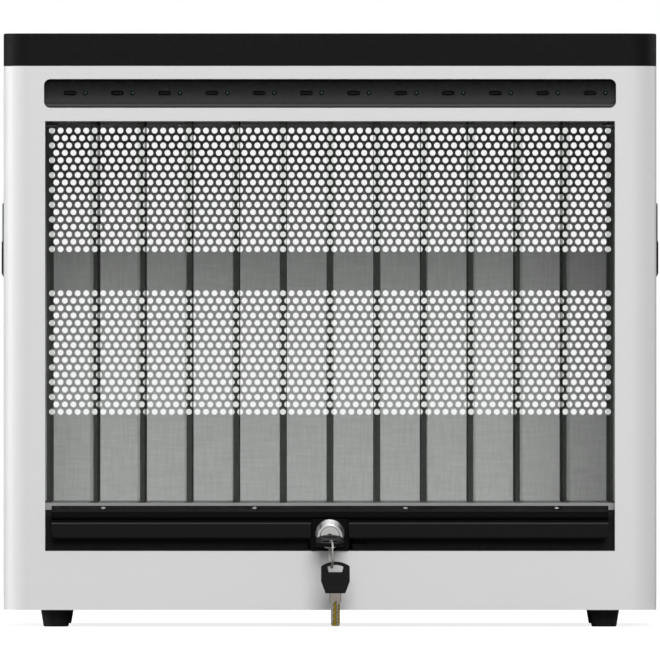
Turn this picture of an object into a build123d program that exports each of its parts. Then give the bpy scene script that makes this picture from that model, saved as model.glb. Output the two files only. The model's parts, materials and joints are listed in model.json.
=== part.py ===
from build123d import *
from math import atan2, cos, degrees, radians, sin, sqrt
import os

# A locking charging cabinet for twelve phones or small tablets, in millimetres, +Z up, front towards -Y.
# Pieces are modelled about the middle of the steel casing, on the surface that the feet stand on. When
# all are made, they move together along Y, so that the origin is the middle of the whole footprint.

# ---- casing ------------------------------------------------------------------------------------------
WIDTH = 460.0                 # steel casing, side to side
DEPTH = 300.0                 # steel casing, front to back
CORNER_R = 19.0               # upright corners of the casing and cap
SHEET = 1.5                   # steel sheet
GAP = 0.1                     # room left between pieces that slip together
FOOT_H = 12.0
BODY_TOP = 395.0
CAP_H = 23.0
CAP_WALL = 2.4
PAN_H = 15.0                  # turned-up edge of the base pan
TOP_FLANGE = 13.0             # turned-in edge under the cap

OPENING_W = 401.2             # front opening that the door closes
OPENING_BOTTOM = 53.5
OPENING_TOP = 356.2
RETURN_DEPTH = 11.4           # folded edge round the door opening

PORT_W = 402.8                # rounded window in front of the sockets
PORT_H = 20.3
PORT_Z = 375.65
PORT_R = 4.5

SERVICE_W = 412.0             # opening in the back that the rear panel covers
SERVICE_BOTTOM, SERVICE_TOP = 30.0, 384.0

# ---- rear panel --------------------------------------------------------------------------------------
PANEL_W = 434.0
PANEL_H = 373.0
PANEL_Z = 206.0
PANEL_R = 8.0
VENT_BANDS = (193.25, 307.8)  # middle heights of the two vented bands
VENT_ROWS = 4
VENTS_IN_LONG_ROW = 17
VENT_PITCH = 24.08            # four pitches of the real 6 mm perforation, with its open area
VENT_FLATS = 16.0

# ---- feet and side handles ---------------------------------------------------------------------------
FOOT_X = 193.2
FOOT_Y = 115.0
FOOT_TOP_R = 10.75
FOOT_LOW_R = 8.9
FOOT_SCREW_SEAT = 5.0
HANDLE_BOTTOM, HANDLE_TOP = 246.8, 299.1
HANDLE_L = 118.0
HANDLE_R = 7.0
HANDLE_RIM = 4.0              # bezel left round the cut-out in the casing
HANDLE_PROUD = 1.7
POCKET_DEPTH = 15.9

# ---- bays --------------------------------------------------------------------------------------------
BAY_COUNT = 12
BAY_PITCH = 33.3
DIVIDER_T = 5.0
BAY_FLOOR_TOP = 87.3
BAY_FLOOR_T = 1.8
BAY_CEILING = 357.0
TAB_LENGTH = 20.0
TAB_PLACES = (-95.0, 95.0)    # along Y

# ---- sockets, electronics and mains parts ------------------------------------------------------------
SOCKET_Z = 376.0
SOCKET_W, SOCKET_H = 8.94, 3.26
SOCKET_DEPTH = 8.0
SOCKET_WALL = 0.35
LED_OFFSET = 10.8             # from a socket's middle to its lamp's
LED_R = 1.5
BOARD_W, BOARD_DEEP, BOARD_T = 396.0, 52.0, 1.6
PSU_X, PSU_Y = -40.0, 30.0
PSU_W, PSU_D, PSU_H = 200.0, 98.0, 31.0
EAR_T = 2.0
INLET_X, SWITCH_X, REAR_PARTS_Z = 165.0, 126.0, 371.0
INLET_BODY = (27.2, 20.2)
INLET_FLANGE = (31.5, 24.5)
INLET_WELL_DEPTH = 14.0
SWITCH_BODY = (19.2, 13.2)
SWITCH_FLANGE = (22.5, 16.5)
ROCKER_R = 5.0
ROCKER_W = 15.8
ROCKER_THROW = 8.0            # degrees either side of level

# ---- door --------------------------------------------------------------------------------------------
DOOR_T = 4.0
DOOR_HALF_W = 199.6
HINGE_Z = 352.8
HINGE_PIN_R = 1.5
HINGE_PIN_IN = 7.8            # length of pin in the pane and in the block
HINGE_BLOCK_W = 9.0
RUNNING = 0.05                # radial clearance of turning fits
RAIL_HALF_W = 196.0
RAIL_SCREW_X = (-159.7, -53.2, 53.2, 159.7)
REBATE_Z = 78.0               # where the pane's foot sits
WEB_BOTTOM = 70.0
COVER_T = 2.0
COVER_TOP_Z, COVER_NOSE_Z = 85.3, 81.7
GROOVE_TOP, GROOVE_BOTTOM = 76.2, 73.4
LIP_BOTTOM, LIP_T = 62.3, 3.0
LIP_CORNER_R = 4.5
BOSS_HALF_W = 13.4            # lock housing
BOSS_BOTTOM = 54.0
SILL_HALF_W = 204.0
SILL_T = 2.0

# ---- lock --------------------------------------------------------------------------------------------
LOCK_Z = 66.0                 # middle of the lock where it leaves its housing
LOCK_TILT = 14.0              # degrees that the lock looks down
LOCK_PROUD = 9.5              # lock face to housing
PLUG_R = 6.95
PLUG_BEVEL = 0.35
BARREL_R = 7.8
BEZEL_R, BEZEL_FACE_R = 10.15, 8.6
BEZEL_STRAIGHT = 3.6          # height of the bezel's plain side, below its rounded shoulder
BARREL_END = -23.8            # along the lock's axis, from the housing's face
NUT_SEAT = -15.0
NUT_T = 2.5
NUT_FLATS_R = 9.0
NUT_RELIEF_W, NUT_RELIEF_H = 16.0, 1.5     # notch in the pane's foot, hidden by the rail, for the nut
TAIL_L = 2.6
CAM_LENGTH = 24.0
CAM_T = 1.9
CAM_SEAT = -24.3
KEYWAY_W = 6.6
KEYWAY_DEPTH = 22.0
KEY_MOUTH_W, KEY_MOUTH_DEPTH = 8.4, 4.6    # wider mouth that takes the key's neck
KEY_EYE_R, KEY_EYE_DEPTH = 2.2, 2.0        # round relief in the middle of the mouth

# ---- keys and ring -----------------------------------------------------------------------------------
KEY_HEAD_L = 22.3
KEY_HEAD_W = 20.2
KEY_HEAD_T = 3.0
KEY_FOOT_W = 13.9             # head's width where the blade leaves it
KEY_CHEEK_LOW, KEY_CHEEK_HIGH = 8.4, 19.0
KEY_WINDOW_LOW, KEY_WINDOW_HIGH = 14.9, 19.9
KEY_NECK_L = 6.0
KEY_NECK_W = 8.0
KEY_BLADE_L = 23.0            # neck and cut blade together
KEY_BLADE_W = 6.3
KEY_BLADE_T = 2.2
KEY_SHOWING = 2.2             # neck left outside the lock face
KEY_CUTS = 6
KEY_CUT_PITCH = 2.3

RING_R = 10.0
RING_WIRE = 1.4               # across the flat wire
RING_WIDTH = 1.6              # two turns side by side
RING_GROOVE = 0.16
RING_YAW = 7.4                # degrees the ring is turned from end-on

# ---- places worked out from them ---------------------------------------------------------------------
FRONT = -DEPTH / 2
BACK = DEPTH / 2
FRONT_IN = FRONT + SHEET
BODY_BOTTOM = FOOT_H
BODY_H = BODY_TOP - BODY_BOTTOM
DOOR_BACK = FRONT + 10.5
DOOR_FRONT = DOOR_BACK - DOOR_T
HINGE_Y = DOOR_BACK - DOOR_T / 2
BAY_FRONT = FRONT + 12.0
SILL_Y = FRONT + 13.0
SILL_TOP = BAY_FLOOR_TOP - BAY_FLOOR_T - 3.2
SHELF_TOP = BAY_CEILING + SHEET
FASCIA_BACK = FRONT + 12.0
FASCIA_FACE = FASCIA_BACK - 2.0
BOARD_TOP = SOCKET_Z - SOCKET_H / 2
BOARD_FRONT = FASCIA_BACK + 0.4
PANEL_FACE = BACK + SHEET
ROCKER_Y = BACK + 1.0
HANDLE_MID = (HANDLE_BOTTOM + HANDLE_TOP) / 2
HANDLE_H = HANDLE_TOP - HANDLE_BOTTOM
RAIL_FRONT = FRONT - 4.5
COVER_NOSE_Y = RAIL_FRONT + 0.5
LOCK_Y = FRONT - 5.5
LOCK = Plane(origin=(0, LOCK_Y, LOCK_Z), x_dir=(1, 0, 0),
             z_dir=(0, -cos(radians(LOCK_TILT)), -sin(radians(LOCK_TILT))))

STANDING = (Align.CENTER, Align.CENTER, Align.MIN)
SOCKET_X = [(i - (BAY_COUNT - 1) / 2) * BAY_PITCH for i in range(BAY_COUNT)]
DIVIDER_X = [(i - BAY_COUNT / 2) * BAY_PITCH for i in range(BAY_COUNT + 1)]
CAP_SCREW_PLACES = [(x, y) for x in (-170, 170) for y in (-142, 142)]
PANEL_SCREW_PLACES = [(x, z) for x in (-211, 211) for z in (34, 150, 265, 380)] + [(0, 25), (0, 388.5)]
FOOT_PLACES = [(x, y) for x in (-FOOT_X, FOOT_X) for y in (-FOOT_Y, FOOT_Y)]
STANDOFF_PLACES = [(x, y) for x in (-186, -62, 62, 186)
                   for y in (BOARD_FRONT + 14, BOARD_FRONT + BOARD_DEEP - 6)]
EAR_X = (PSU_X - PSU_W / 2 + 14, PSU_X + PSU_W / 2 - 30)
EAR_SCREW_PLACES = [(x, PSU_Y + side * (PSU_D / 2 + 6)) for x in EAR_X for side in (-1, 1)]


# ---- helpers -----------------------------------------------------------------------------------------
def casing_outline(inset=0.0):
    """The casing's rounded rectangle in plan, drawn in by inset all round."""
    return RectangleRounded(WIDTH - 2 * inset, DEPTH - 2 * inset, CORNER_R - inset)


def closed_face(points):
    return make_face(Polyline(*points, close=True))


def prism_x(points, x0, x1):
    """A section drawn in Y and Z, carried along X."""
    return extrude(Plane.YZ.offset(x0) * closed_face(points), amount=x1 - x0)


def slab_xz(sketch, y0, y1):
    """A sketch drawn in X and Z, carried from y0 back to y1."""
    return extrude(Plane.XZ.offset(-y1) * sketch, amount=y1 - y0)


def slab_yz(sketch, x0, x1):
    """A sketch drawn in Y and Z, carried along X."""
    return extrude(Plane.YZ.offset(x0) * sketch, amount=x1 - x0)


def box_between(x0, x1, y0, y1, z0, z1):
    return Pos((x0 + x1) / 2, (y0 + y1) / 2, (z0 + z1) / 2) * Box(x1 - x0, y1 - y0, z1 - z0)


def turned(points):
    """A revolved solid from radius and height pairs."""
    return revolve(Plane.XZ * closed_face(points), axis=Axis.Z)


def along_x(radius, length):
    """A round bar on the hinge line, centred on the origin's X."""
    return Pos(0, HINGE_Y, HINGE_Z) * Rot(0, 90, 0) * Cylinder(radius, length)


def both_sides(piece):
    return piece + mirror(piece, about=Plane.YZ)


def on_side(piece, side):
    """The piece as made for the right, or its mirror image for the left."""
    return piece if side > 0 else mirror(piece, about=Plane.YZ)


def pan_screw(head_r, head_h, shank_r, length):
    """A domed screw, its head's underside at the origin and its shank down -Z."""
    edge = head_h * 0.45
    head = turned([(0, 0), (head_r, 0), (head_r, edge), (head_r * 0.62, head_h), (0, head_h)])
    recess = Pos(0, 0, head_h * 0.35) * extrude(RegularPolygon(head_r * 0.42, 6), head_h)
    return head - recess + Pos(0, 0, -length) * Cylinder(shank_r, length, align=STANDING)


def group(pieces):
    """Separate solids that share one node."""
    return Compound([solid for piece in pieces for solid in piece.solids()])


# ---- steel casing ------------------------------------------------------------------------------------
def panel_fixings(radius):
    """Cylinders where the ten screws of the rear panel go."""
    return [Pos(x, BACK, z) * Rot(90, 0, 0) * Cylinder(radius, 12) for x, z in PANEL_SCREW_PLACES]


def handle_outline(inset=0.0):
    """The side handle's rounded rectangle, along Y and Z, drawn in by inset all round."""
    return Pos(0, HANDLE_MID) * RectangleRounded(HANDLE_L - 2 * inset, HANDLE_H - 2 * inset, HANDLE_R)


def opening_edges():
    """The folded edges at both sides of the door opening and above it."""
    half = OPENING_W / 2
    back = FRONT + RETURN_DEPTH
    top = OPENING_TOP + SHEET
    jamb = box_between(half, half + SHEET, FRONT_IN, back, OPENING_BOTTOM, top)
    return both_sides(jamb) + box_between(-half - SHEET, half + SHEET, FRONT_IN, back, OPENING_TOP, top)


def make_cabinet_shell():
    """The wrapped sheet with its top flange, the door opening, the port window and the service opening."""
    wrap = extrude(casing_outline(), BODY_H) - extrude(casing_outline(SHEET), BODY_H)
    flange = extrude(casing_outline(SHEET), SHEET) - extrude(casing_outline(SHEET + TOP_FLANGE), SHEET)
    shell = Pos(0, 0, BODY_BOTTOM) * wrap + Pos(0, 0, BODY_TOP - SHEET) * flange
    half, half_back = OPENING_W / 2, SERVICE_W / 2
    opening = box_between(-half, half, FRONT - 1, FRONT_IN + 1, OPENING_BOTTOM, OPENING_TOP)
    window = slab_xz(Pos(0, PORT_Z) * RectangleRounded(PORT_W, PORT_H, PORT_R), FRONT - 1, FRONT_IN + 1)
    service = box_between(-half_back, half_back, BACK - SHEET - 1, BACK + 1, SERVICE_BOTTOM, SERVICE_TOP)
    grips = both_sides(slab_yz(handle_outline(HANDLE_RIM), WIDTH / 2 - 5, WIDTH / 2 + 5))
    shell = shell - opening - window - service - grips + opening_edges()
    pin_hole = along_x(HINGE_PIN_R + 0.1, OPENING_W + 12)
    cap_holes = [Pos(x, y, BODY_TOP) * Cylinder(1.9, 8) for x, y in CAP_SCREW_PLACES]
    return shell - pin_hole - cap_holes - panel_fixings(1.55)


def make_base_pan():
    slip = SHEET + GAP
    pan = extrude(casing_outline(slip), PAN_H)
    pan -= Pos(0, 0, SHEET) * extrude(casing_outline(slip + SHEET), PAN_H)
    holes = [Pos(x, y, 0) * Cylinder(2.05, 6) for x, y in FOOT_PLACES]
    ribs = [Pos(0, y, SHEET) * Box(340, 12, 5, align=STANDING) for y in (-60, 60)]
    return Pos(0, 0, BODY_BOTTOM) * (pan - holes + ribs) - panel_fixings(1.55)


def make_top_cap():
    """A moulded lid with a softened rim, ribs under its top and a post for each screw."""
    room = CAP_H - CAP_WALL
    body = extrude(casing_outline(), CAP_H)
    body = fillet(body.edges().group_by(Axis.Z)[-1], 1.2)
    body -= extrude(casing_outline(CAP_WALL), room)
    posts = [Pos(x, y, 0) * Cylinder(4.5, room, align=STANDING) for x, y in CAP_SCREW_PLACES]
    holes = [Pos(x, y, 0) * Cylinder(1.6, 24) for x, y in CAP_SCREW_PLACES]
    ribs = [Pos(0, y, room - 3) * Box(400, 2, 3, align=STANDING) for y in (-75, 0, 75)]
    return Pos(0, 0, BODY_TOP) * (body + posts - holes + ribs)


def make_cap_screws():
    screw = Rot(180, 0, 0) * pan_screw(3.6, 2.4, 1.55, 9)
    return group(Pos(x, y, BODY_TOP - SHEET) * screw for x, y in CAP_SCREW_PLACES)


def vent_places():
    """The middles of the vents: staggered rows in two bands, every other row one shorter."""
    row_step = VENT_PITCH * sqrt(3) / 2
    places = []
    for middle in VENT_BANDS:
        for row in range(VENT_ROWS):
            z = middle + (row - (VENT_ROWS - 1) / 2) * row_step
            count = VENTS_IN_LONG_ROW - row % 2
            places += [((i - (count - 1) / 2) * VENT_PITCH, z) for i in range(count)]
    return places


def rear_cutout(x, size):
    """A hole in the rear panel with 0.3 mm to spare round a body of the given width and height."""
    sketch = Pos(x, REAR_PARTS_Z) * Rectangle(size[0] + 0.4, size[1] + 0.4)
    return slab_xz(sketch, BACK - 1, PANEL_FACE + 1)


def make_rear_panel():
    panel = slab_xz(Pos(0, PANEL_Z) * RectangleRounded(PANEL_W, PANEL_H, PANEL_R), BACK, PANEL_FACE)
    vent = RegularPolygon(VENT_FLATS / 2, 6, major_radius=False, rotation=30)
    vents = slab_xz(Sketch() + [Pos(x, z) * vent for x, z in vent_places()], BACK - 1, PANEL_FACE + 1)
    return (panel - vents - rear_cutout(INLET_X, INLET_BODY) - rear_cutout(SWITCH_X, SWITCH_BODY)
            - panel_fixings(1.9))


def make_rear_screws():
    screw = Rot(-90, 0, 0) * pan_screw(3.5, 2.2, 1.5, 5.5)
    return group(Pos(x, PANEL_FACE, z) * screw for x, z in PANEL_SCREW_PLACES)


# ---- feet and handles --------------------------------------------------------------------------------
def make_foot(x, y):
    """A rubber foot: tapered, eased at the floor, and hollow below its screw's seat."""
    foot = turned([(2.3, FOOT_H), (FOOT_TOP_R, FOOT_H), (FOOT_LOW_R, 0.8), (FOOT_LOW_R - 0.6, 0), (4.4, 0),
                   (4.4, FOOT_SCREW_SEAT), (2.3, FOOT_SCREW_SEAT)])
    return Pos(x, y, 0) * foot


def make_foot_screws():
    screw = Rot(180, 0, 0) * pan_screw(3.9, 2.6, 2.0, 12.5)
    return group(Pos(x, y, FOOT_SCREW_SEAT) * screw for x, y in FOOT_PLACES)


def make_side_handle(side):
    """A moulded pocket that fills a cut-out in the casing's side, with a fuller lower lip."""
    wall = WIDTH / 2
    bezel = slab_yz(handle_outline(), wall, wall + HANDLE_PROUD)
    bezel = chamfer(bezel.edges().group_by(Axis.X)[-1], 0.8)
    lower_half = Pos(0, HANDLE_MID - HANDLE_H / 4 + 0.4)
    lip_outline = lower_half * RectangleRounded(HANDLE_L - 3, HANDLE_H / 2 - 3, 6)
    lip = slab_yz(lip_outline, wall + 0.6, wall + 2.2)
    cup = slab_yz(handle_outline(HANDLE_RIM + 0.15), wall - POCKET_DEPTH - 1.6, wall + 0.5)
    deep = Plane.YZ.offset(wall - POCKET_DEPTH) * Pos(0, HANDLE_MID + 2)
    mouth = Plane.YZ.offset(wall + 3) * Pos(0, HANDLE_MID)
    pocket = loft([deep * RectangleRounded(HANDLE_L - 17, HANDLE_H - 20, 5),
                   mouth * RectangleRounded(HANDLE_L - 12, HANDLE_H - 12.5, 5)])
    return on_side(bezel + lip + cup - pocket, side)


# ---- bays --------------------------------------------------------------------------------------------
def bay_sheet(z0, thickness):
    """A full-width shelf that follows the casing's inside from the door line to the rear panel."""
    sheet = extrude(casing_outline(SHEET + GAP), thickness)
    sheet -= box_between(-WIDTH, WIDTH, FRONT - 1, BAY_FRONT - 0.5, -1, thickness + 1)
    slot = Box(DIVIDER_T + 0.2, TAB_LENGTH + 0.4, thickness + 2)
    sheet -= [Pos(x, y, thickness / 2) * slot for x in DIVIDER_X for y in TAB_PLACES]
    return Pos(0, 0, z0) * sheet


def make_bay_floor():
    low = BAY_FLOOR_TOP - BAY_FLOOR_T
    lip = box_between(-226, 226, BAY_FRONT - 0.5, BAY_FRONT + 1.3, SILL_TOP + GAP, low)
    return bay_sheet(low, BAY_FLOOR_T) + lip


def make_bay_ceiling():
    return bay_sheet(BAY_CEILING, SHEET)


def make_divider(x):
    """A clear sheet with two tabs below and two above that drop into the floor and ceiling slots."""
    half = DIVIDER_T / 2
    plate = box_between(-half, half, BAY_FRONT, BACK - GAP, BAY_FLOOR_TOP, BAY_CEILING)
    plate += [box_between(-half, half, y - TAB_LENGTH / 2, y + TAB_LENGTH / 2, BAY_FLOOR_TOP - BAY_FLOOR_T,
                          SHELF_TOP) for y in TAB_PLACES]
    return Pos(x, 0, 0) * plate


# ---- sockets and electronics -------------------------------------------------------------------------
def make_port_fascia():
    """A moulded tray behind the port window: flange, drawn-in walls, socket plate and a cable ledge."""
    place = Pos(0, PORT_Z)
    tray = slab_xz(place * RectangleRounded(PORT_W + 11, PORT_H + 8, 7), FRONT_IN + GAP, FRONT_IN + 1.6)
    flange = place * RectangleRounded(PORT_W + 3, PORT_H + 3, PORT_R + 1.5)
    tray += slab_xz(flange, FRONT_IN + GAP, FASCIA_BACK)
    tray -= slab_xz(place * RectangleRounded(PORT_W, PORT_H, PORT_R), FRONT - 1, FASCIA_FACE)
    floor_z = PORT_Z - PORT_H / 2
    ledge_front = FASCIA_FACE - 4.0
    half = PORT_W / 2 - 1
    tray += prism_x([(FASCIA_FACE, floor_z), (ledge_front, floor_z), (ledge_front, floor_z + 1.6),
                     (ledge_front + 0.8, floor_z + 2.4), (FASCIA_FACE, floor_z + 2.4)], -half, half)
    cuts = [Pos(x, SOCKET_Z) * SlotOverall(SOCKET_W + 0.46, SOCKET_H + 0.44) for x in SOCKET_X]
    cuts += [Pos(x + LED_OFFSET, SOCKET_Z) * RegularPolygon(LED_R + 0.2, 10) for x in SOCKET_X]
    return tray - slab_xz(Sketch() + cuts, FASCIA_FACE - 1, FASCIA_BACK + 1)


def make_usb_sockets():
    """A drawn shell with a closed back and a flat tongue inside, one behind each slot in the tray."""
    outer = SlotOverall(SOCKET_W, SOCKET_H)
    front = FASCIA_FACE + 0.3
    inside = slab_xz(offset(outer, -SOCKET_WALL), front - 1, front + SOCKET_DEPTH - 0.8)
    tongue = slab_xz(Rectangle(6.7, 0.7), front + 1.6, front + SOCKET_DEPTH - 0.4)
    socket = slab_xz(outer, front, front + SOCKET_DEPTH) - inside + tongue
    return group(Pos(x, 0, SOCKET_Z) * socket for x in SOCKET_X)


def make_status_leds():
    led = slab_xz(RegularPolygon(LED_R, 10), FASCIA_FACE + 0.2, FASCIA_BACK + 1.5)
    return group(Pos(x + LED_OFFSET, 0, SOCKET_Z) * led for x in SOCKET_X)


def make_hub_board():
    half = BOARD_W / 2
    board = box_between(-half, half, BOARD_FRONT, BOARD_FRONT + BOARD_DEEP, BOARD_TOP - BOARD_T, BOARD_TOP)
    return board - [Pos(x, y, BOARD_TOP) * Cylinder(1.7, 8) for x, y in STANDOFF_PLACES]


def make_hub_components():
    """A controller and a choke for each port, and the feed terminal at the board's rear edge."""
    chip = Box(9, 9, 1.4, align=STANDING)
    choke = extrude(RectangleRounded(8, 8, 1.5), 5)
    parts = [Pos(x - 3, BOARD_FRONT + 24, BOARD_TOP) * chip for x in SOCKET_X]
    parts += [Pos(x + 6, BOARD_FRONT + 36, BOARD_TOP) * choke for x in SOCKET_X]
    parts.append(Pos(0, BOARD_FRONT + BOARD_DEEP - 6, BOARD_TOP) * Box(40, 9, 11, align=STANDING))
    return group(parts)


def make_board_standoffs():
    """Waisted posts: the board rests on each shoulder, and a flanged top holds it down."""
    under = BOARD_TOP - BOARD_T
    post = turned([(0, SHELF_TOP), (3.2, SHELF_TOP), (3.2, under), (1.5, under), (1.5, BOARD_TOP),
                   (2.9, BOARD_TOP), (2.9, BOARD_TOP + 1.8), (0, BOARD_TOP + 1.8)])
    return group(Pos(x, y, 0) * post for x, y in STANDOFF_PLACES)


def make_power_supply():
    """A vented metal box on four turned-out ears, open along its terminal strip."""
    end = PSU_W / 2
    case = Box(PSU_W, PSU_D, PSU_H, align=STANDING)
    bay = Pos(end - 8, 0, 9) * Box(20, PSU_D - 8, PSU_H, align=STANDING)
    slots = [Pos(x, 0, PSU_H) * Box(3, PSU_D - 34, 3) for x in range(-80, 61, 14)]
    strip = Pos(end - 9, 0, 9) * Box(12, 66, 8, align=STANDING)
    ears = [Pos(x, PSU_Y + side * (PSU_D / 2 + 5), SHELF_TOP) * Box(14, 12, EAR_T, align=STANDING)
            for x in EAR_X for side in (-1, 1)]
    holes = [Pos(x, y, SHELF_TOP) * Cylinder(1.9, 8) for x, y in EAR_SCREW_PLACES]
    return Pos(PSU_X, PSU_Y, SHELF_TOP) * (case - bay - slots + strip) + ears - holes


def make_psu_screws():
    screw = pan_screw(3.2, 2.0, 1.5, EAR_T - 0.1)
    return group(Pos(x, y, SHELF_TOP + EAR_T) * screw for x, y in EAR_SCREW_PLACES)


def make_power_inlet():
    """A three-pin appliance inlet, its flange on the rear panel and its pins inside a keyed well."""
    face = PANEL_FACE
    well_back = face - INLET_WELL_DEPTH
    flange = slab_xz(RectangleRounded(*INLET_FLANGE, 2), face, face + 2.4)
    flange = chamfer(flange.edges().group_by(Axis.Y)[-1], 0.7)
    body = slab_xz(RectangleRounded(*INLET_BODY, 1.5), face - 24, face + 0.5)
    keyed = closed_face([(-12.1, -8.2), (12.1, -8.2), (12.1, 3.6), (7.6, 8.2), (-7.6, 8.2), (-12.1, 3.6)])
    well = slab_xz(keyed, well_back, face + 5)
    pins = [slab_xz(Pos(x, z) * Rectangle(2, 4), well_back - 1, face - 2)
            for x, z in ((-7, -1.5), (7, -1.5), (0, 2.5))]
    return Pos(INLET_X, 0, REAR_PARTS_Z) * (flange + body - well + pins)


def make_switch_housing():
    face = PANEL_FACE
    flange = slab_xz(RectangleRounded(*SWITCH_FLANGE, 2), face, face + 1.8)
    flange = chamfer(flange.edges().group_by(Axis.Y)[-1], 0.6)
    body = slab_xz(RectangleRounded(*SWITCH_BODY, 1), face - 16, face + 0.5)
    well = slab_xz(Rectangle(ROCKER_W + 0.8, 11.8), face - 9, face + 5)
    return Pos(SWITCH_X, 0, REAR_PARTS_Z) * (flange + body - well)


def make_switch_rocker():
    """A rocker with two finger flats, tipped to its off position about a cross axis."""
    tips, crest = 5.4, 3.4
    half = 4.8
    outline = closed_face([(-ROCKER_R, -half), (tips, -half), (crest, 0), (tips, half), (-ROCKER_R, half)])
    round_back = Circle(ROCKER_R) + Pos(5, 0) * Rectangle(10, 12)
    rocker = slab_yz(outline & round_back, -ROCKER_W / 2, ROCKER_W / 2)
    return Pos(SWITCH_X, ROCKER_Y, REAR_PARTS_Z) * Rot(-ROCKER_THROW, 0, 0) * rocker


# ---- door sill and hinges ----------------------------------------------------------------------------
def make_door_sill():
    """A moulding behind the door's foot: kerb, upright that the lock's cam catches, and shelf edge."""
    kerb = FRONT_IN + GAP
    ledge = OPENING_BOTTOM - GAP
    upright_back, shelf_back = SILL_Y + SILL_T, SILL_Y + 18
    section = [(kerb, ledge), (kerb, ledge - 9), (FRONT_IN + 1.6, ledge - 9), (FRONT_IN + 1.6, ledge - 1.6),
               (SILL_Y, ledge - 1.6), (SILL_Y, ledge - 12), (upright_back, ledge - 12),
               (upright_back, SILL_TOP - 2), (shelf_back, SILL_TOP - 2), (shelf_back, SILL_TOP),
               (SILL_Y, SILL_TOP), (SILL_Y, ledge)]
    sill = prism_x(section, -SILL_HALF_W, SILL_HALF_W)
    barrel_way = box_between(-16, 16, SILL_Y - 1, SILL_Y + 30, OPENING_BOTTOM + 0.5, SILL_TOP + 1)
    cam_way = box_between(15, 30, SILL_Y - 1, SILL_Y + 30, OPENING_BOTTOM + 5, SILL_TOP + 1)
    return sill - barrel_way - cam_way


def make_door_bumpers():
    stud = Rot(90, 0, 0) * turned([(0, 0), (4, 0), (3.4, 2.2), (0, 2.2)])
    return group(Pos(x, SILL_Y, 74.5) * stud for x in (-150, 150))


def make_hinge_block(side):
    """A block behind the jamb with a blind hole for the hinge pin."""
    x0 = OPENING_W / 2 + SHEET
    block = box_between(x0, x0 + HINGE_BLOCK_W, FRONT_IN + GAP, BAY_FRONT - 0.8,
                        HINGE_Z - 8, BAY_CEILING - 0.2)
    return on_side(block - Pos(x0 + 3, 0, 0) * along_x(HINGE_PIN_R + 0.01, 10), side)


def make_hinge_pins():
    inner, outer = DOOR_HALF_W - HINGE_PIN_IN, OPENING_W / 2 + SHEET + HINGE_PIN_IN
    pin = Pos((inner + outer) / 2, 0, 0) * along_x(HINGE_PIN_R, outer - inner)
    return group((pin, mirror(pin, about=Plane.YZ)))


# ---- door --------------------------------------------------------------------------------------------
def make_door_pane():
    """The clear flap. Its top edge is rounded about the hinge line, so that it turns under the lintel."""
    foot = REBATE_Z + GAP
    section = Pos(HINGE_Y, (foot + HINGE_Z) / 2) * Rectangle(DOOR_T, HINGE_Z - foot)
    section += Pos(HINGE_Y, HINGE_Z) * Circle(DOOR_T / 2)
    pane = slab_yz(section, -DOOR_HALF_W, DOOR_HALF_W)
    bore = Pos(DOOR_HALF_W - 4, 0, 0) * along_x(HINGE_PIN_R + RUNNING, 8.01)
    nut_relief = box_between(-NUT_RELIEF_W / 2, NUT_RELIEF_W / 2, DOOR_FRONT - 1, DOOR_BACK + 1,
                             foot - 1, foot + NUT_RELIEF_H)
    return pane - both_sides(bore) - nut_relief


def make_door_rail():
    """The pull rail: a head for the cover, a rebate for the pane, a groove and a hanging finger lip."""
    head_front = COVER_NOSE_Y + COVER_T
    drop = COVER_T + 0.15
    lip_back = RAIL_FRONT + LIP_T
    groove_back = FRONT + 3.5
    section = [(DOOR_BACK, WEB_BOTTOM), (DOOR_BACK, REBATE_Z), (DOOR_FRONT, REBATE_Z),
               (DOOR_FRONT, COVER_TOP_Z - drop), (head_front, COVER_NOSE_Z - drop + 0.7),
               (head_front, GROOVE_TOP), (groove_back, GROOVE_TOP), (groove_back, GROOVE_BOTTOM),
               (RAIL_FRONT + 0.7, GROOVE_BOTTOM), (RAIL_FRONT, GROOVE_BOTTOM - 0.9),
               (RAIL_FRONT, LIP_BOTTOM + 1), (RAIL_FRONT + 1, LIP_BOTTOM), (lip_back, LIP_BOTTOM),
               (lip_back, WEB_BOTTOM)]
    rail = prism_x(section, -RAIL_HALF_W, RAIL_HALF_W) - lip_corners()
    boss = BOSS_HALF_W
    rail -= box_between(-boss, boss, FRONT - 10, DOOR_BACK + 1, 50, GROOVE_TOP)
    rail -= box_between(-boss, boss, DOOR_FRONT, DOOR_BACK + 1, GROOVE_TOP - 1, REBATE_Z + 1)
    rail -= lock_place(Cylinder(BARREL_R + 0.2, 80))
    return rail - [screw_place(x) * Cylinder(1.02, 12) for x in RAIL_SCREW_X]


def lip_corners():
    """What rounding takes off the lip's two lower corners."""
    r = LIP_CORNER_R
    square = Pos(RAIL_HALF_W + 1 - (r + 1) / 2, LIP_BOTTOM - 1 + (r + 1) / 2) * Rectangle(r + 1, r + 1)
    rounded = square - Pos(RAIL_HALF_W - r, LIP_BOTTOM + r) * Circle(r)
    return both_sides(slab_xz(rounded, FRONT - 9, FRONT + 1))


def screw_place(x):
    """The middle of the cover's sloping top at x, with Z along the slope's normal."""
    lean = degrees(atan2(COVER_TOP_Z - COVER_NOSE_Z, DOOR_FRONT - COVER_NOSE_Y))
    return Pos(x, (DOOR_FRONT + COVER_NOSE_Y) / 2, (COVER_TOP_Z + COVER_NOSE_Z) / 2) * Rot(lean, 0, 0)


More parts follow.
